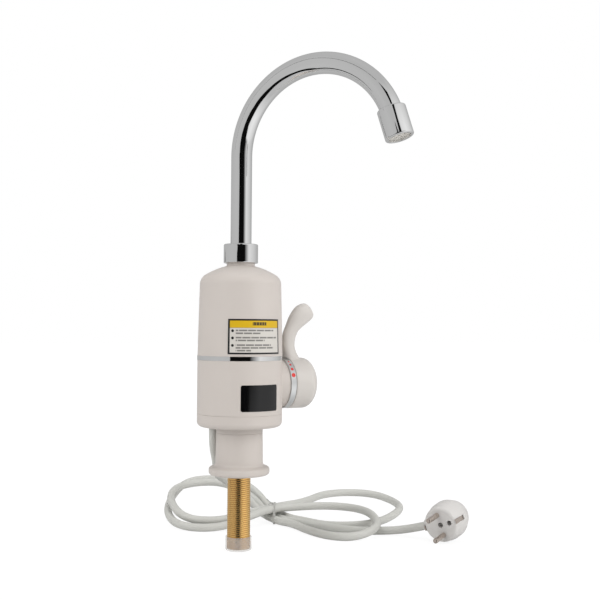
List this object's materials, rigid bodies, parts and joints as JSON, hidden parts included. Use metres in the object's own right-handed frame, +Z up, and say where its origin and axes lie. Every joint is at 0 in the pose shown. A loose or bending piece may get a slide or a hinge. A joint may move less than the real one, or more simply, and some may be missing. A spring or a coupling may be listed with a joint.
{
  "type": "electric instant water heater tap",
  "caption": "Electric instant water heater tap with swivel gooseneck spout, side lever valve, display window and tied mains cord with plug.",
  "frame": {"origin": "centre of the base flange's underside, on the worktop's surface, on the body's axis", "axes": "+Z up along the body's axis, -Y towards the front with the display, +X along the lever's axis away from the body"},
  "size_m": [0.2698, 0.3539, 0.4422],
  "materials": {
    "housing_plastic": "warm off-white, smooth and slightly glossy",
    "knob_plastic": "warm off-white, glossy",
    "bright_chrome": "polished",
    "satin_silver": "satin silver",
    "brass": "turned, lightly tarnished",
    "steel": "plain",
    "stainless": "satin",
    "black_rubber": "matt",
    "clear_black": "dark see-through pane, polished",
    "board_green": "solder-masked board",
    "terminal_white": "plain",
    "valve_plastic": "moulded",
    "natural_plastic": "milky, soft",
    "label_film": "printed film with dark frame and yellow band",
    "red_mark": "red",
    "blue_mark": "blue",
    "cord_sheath": "soft grey-white sheath",
    "tie_wire": "white coated wire",
    "plug_plastic": "off-white",
    "plated_pin": "nickel plated"
  },
  "bodies": {
    "tap": {"neck_pedestal": "housing_plastic", "deck_seal": "black_rubber", "inlet_shank": "brass", "shank_locknut": "brass", "inlet_washer": "black_rubber", "bottom_cap": "housing_plastic", "lower_housing": "housing_plastic", "chrome_band": "bright_chrome", "upper_housing": "housing_plastic", "spout_nut": "bright_chrome", "valve_body": "valve_plastic", "valve_cartridge": "valve_plastic", "indicator_ring": "satin_silver", "hot_marks": "red_mark", "cold_marks": "blue_mark", "flow_switch_housing": "valve_plastic", "tank_base": "valve_plastic", "tank_seal": "black_rubber", "heating_tank": "stainless", "heating_element": "stainless", "tank_screws": "steel", "thermal_cutout": "terminal_white", "control_board": "board_green", "terminal_block": "terminal_white", "cord_gland": "housing_plastic", "inner_cable": "cord_sheath", "base_screws": "steel", "display_window": "clear_black", "display_board": "board_green", "info_sticker": "label_film", "plug_body": "plug_plastic", "plug_pins": "plated_pin", "plug_earth_clips": "brass", "cord_lead": "cord_sheath", "cord_hank": "cord_sheath", "cord_tail": "cord_sheath", "cord_tie": "tie_wire"},
    "spout": {"spout_tube": "bright_chrome", "spout_seals": "black_rubber", "nozzle_collar": "bright_chrome", "aerator_insert": "valve_plastic"},
    "lever": {"knob_lever": "knob_plastic", "valve_stem": "brass", "knob_grub_screw": "steel"},
    "float": {"flow_float": "black_rubber"},
    "cap": {"thread_cap": "natural_plastic"}
  },
  "joints": [
    {"name": "spout_swivel", "type": "hinge", "parent": "tap", "child": "spout", "pos_m": [0, 0, 0.2], "axis": [0, 0, 1], "continuous": true},
    {"name": "lever_turn", "type": "hinge", "parent": "tap", "child": "lever", "pos_m": [0.05, 0, 0.0816], "axis": [1, 0, 0], "range_deg": [-90, 90]},
    {"name": "float_lift", "type": "slide", "parent": "tap", "child": "float", "axis": [0, 0, 1], "range_m": [0, 0.004]},
    {"name": "thread_cap_pull", "type": "slide", "parent": "tap", "child": "cap", "axis": [0, 0, -1], "range_m": [0, 0.015]}
  ]
}
